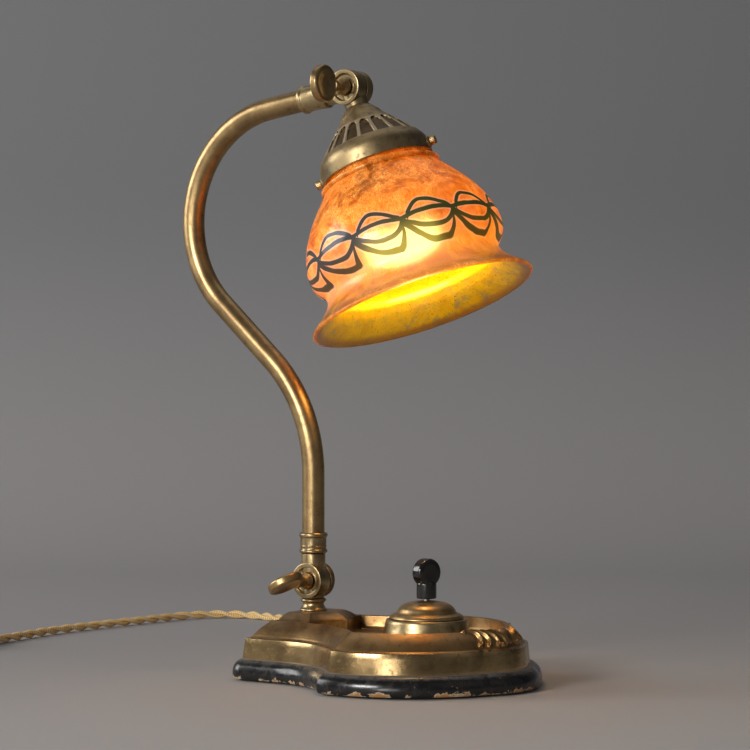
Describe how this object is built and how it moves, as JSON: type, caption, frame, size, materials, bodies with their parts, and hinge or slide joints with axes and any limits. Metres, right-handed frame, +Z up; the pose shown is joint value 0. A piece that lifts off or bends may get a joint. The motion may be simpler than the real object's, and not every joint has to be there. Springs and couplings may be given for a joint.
{
  "type": "desk lamp",
  "caption": "Table lamp: brass base on a black wooden plinth, friction joints at both ends of an S-curved arm, tilting bell-shaped art-glass shade, rotary switch and twisted cord.",
  "frame": {"origin": "on the resting surface, under the axis of the post that carries the arm", "axes": "+Z up; +X along the base's line of symmetry, from the post towards the switch; the thumb screws are on the -Y side"},
  "size_m": [0.629, 0.3919, 0.4212],
  "materials": {
    "aged_brass": "brass with brown patina, dust in the hollows",
    "polished_brass": "rubbed brass, satin with fine scratches",
    "steel": "plain turned steel",
    "black_lacquer": "black lacquer on wood, chipped along the lower edge",
    "bakelite": "polished black moulded resin",
    "felt": "dark pressed felt",
    "porcelain": "glazed porcelain",
    "fibre": "vulcanised fibre washer",
    "relief_rubber": "matt olive-brown rubber",
    "silk": "braided gold silk over two twisted conductors",
    "bulb_glass": "frosted inside, lit",
    "art_glass": "iridescent orange lustre with a dark green looped band, gold inside"
  },
  "bodies": {
    "base": {"felt_pad": "felt", "wood_plinth": "black_lacquer", "plinth_screw_1": "steel", "plinth_screw_2": "steel", "plinth_screw_3": "steel", "plinth_screw_4": "steel", "base_shell": "aged_brass", "switch_mechanism": "porcelain", "switch_drum": "aged_brass", "switch_cover": "aged_brass", "post_nut": "polished_brass", "post_nipple": "polished_brass", "post_spool": "aged_brass", "lower_joint_base_half": "aged_brass", "lower_joint_washer": "fibre", "inner_lead_in": "silk", "inner_lead_out": "silk", "cord_bushing": "aged_brass", "cord_relief": "relief_rubber", "cord_tube": "silk", "cord_coil": "silk", "cord_tail": "silk", "plug_body": "bakelite", "plug_pin_1": "polished_brass", "plug_pin_2": "polished_brass"},
    "key": {"switch_spindle": "steel", "switch_key": "bakelite"},
    "lower_screw": {"lower_thumb_screw": "aged_brass"},
    "arm": {"lower_joint_arm_half": "aged_brass", "arm_lower_ferrule": "polished_brass", "arm_tube": "polished_brass", "arm_lead": "silk", "arm_upper_ferrule": "polished_brass", "upper_joint_arm_half": "aged_brass"},
    "head": {"upper_joint_head_half": "aged_brass", "upper_joint_washer": "fibre", "head_nipple": "polished_brass", "shade_gallery": "aged_brass", "lamp_socket": "polished_brass", "socket_insert": "porcelain", "bulb_cap": "steel", "bulb_glass": "bulb_glass", "glass_shade": "art_glass"},
    "upper_screw": {"upper_thumb_screw": "aged_brass"},
    "gallery_screw_1": {"shade_screw_1": "aged_brass"},
    "gallery_screw_2": {"shade_screw_2": "aged_brass"}
  },
  "joints": [
    {"name": "arm_tilt", "type": "hinge", "parent": "base", "child": "arm", "pos_m": [0, 0, 0.0667], "axis": [0, 1, 0], "range_deg": [-25, 40]},
    {"name": "head_tilt", "type": "hinge", "parent": "arm", "child": "head", "pos_m": [0.03197, 0, 0.40834], "axis": [0, -1, 0], "range_deg": [-18, 80]},
    {"name": "lower_screw_turn", "type": "hinge", "parent": "base", "child": "lower_screw", "pos_m": [0, 0, 0.0667], "axis": [0, -1, 0], "range_deg": [-180, 180]},
    {"name": "upper_screw_turn", "type": "hinge", "parent": "head", "child": "upper_screw", "pos_m": [0.03197, 0, 0.40834], "axis": [0, -1, 0], "range_deg": [-180, 180]},
    {"name": "gallery_screw_1_turn", "type": "hinge", "parent": "head", "child": "gallery_screw_1", "pos_m": [0.05264, 0, 0.35586], "axis": [0.8797, 0.3256, 0.3465], "range_deg": [-180, 180]},
    {"name": "gallery_screw_2_turn", "type": "hinge", "parent": "head", "child": "gallery_screw_2", "pos_m": [0.05264, 0, 0.35586], "axis": [-0.8797, -0.3256, -0.3465], "range_deg": [-180, 180]},
    {"name": "switch_turn", "type": "hinge", "parent": "base", "child": "key", "pos_m": [0.094, 0, 0.06], "axis": [0, 0, -1], "continuous": true}
  ]
}
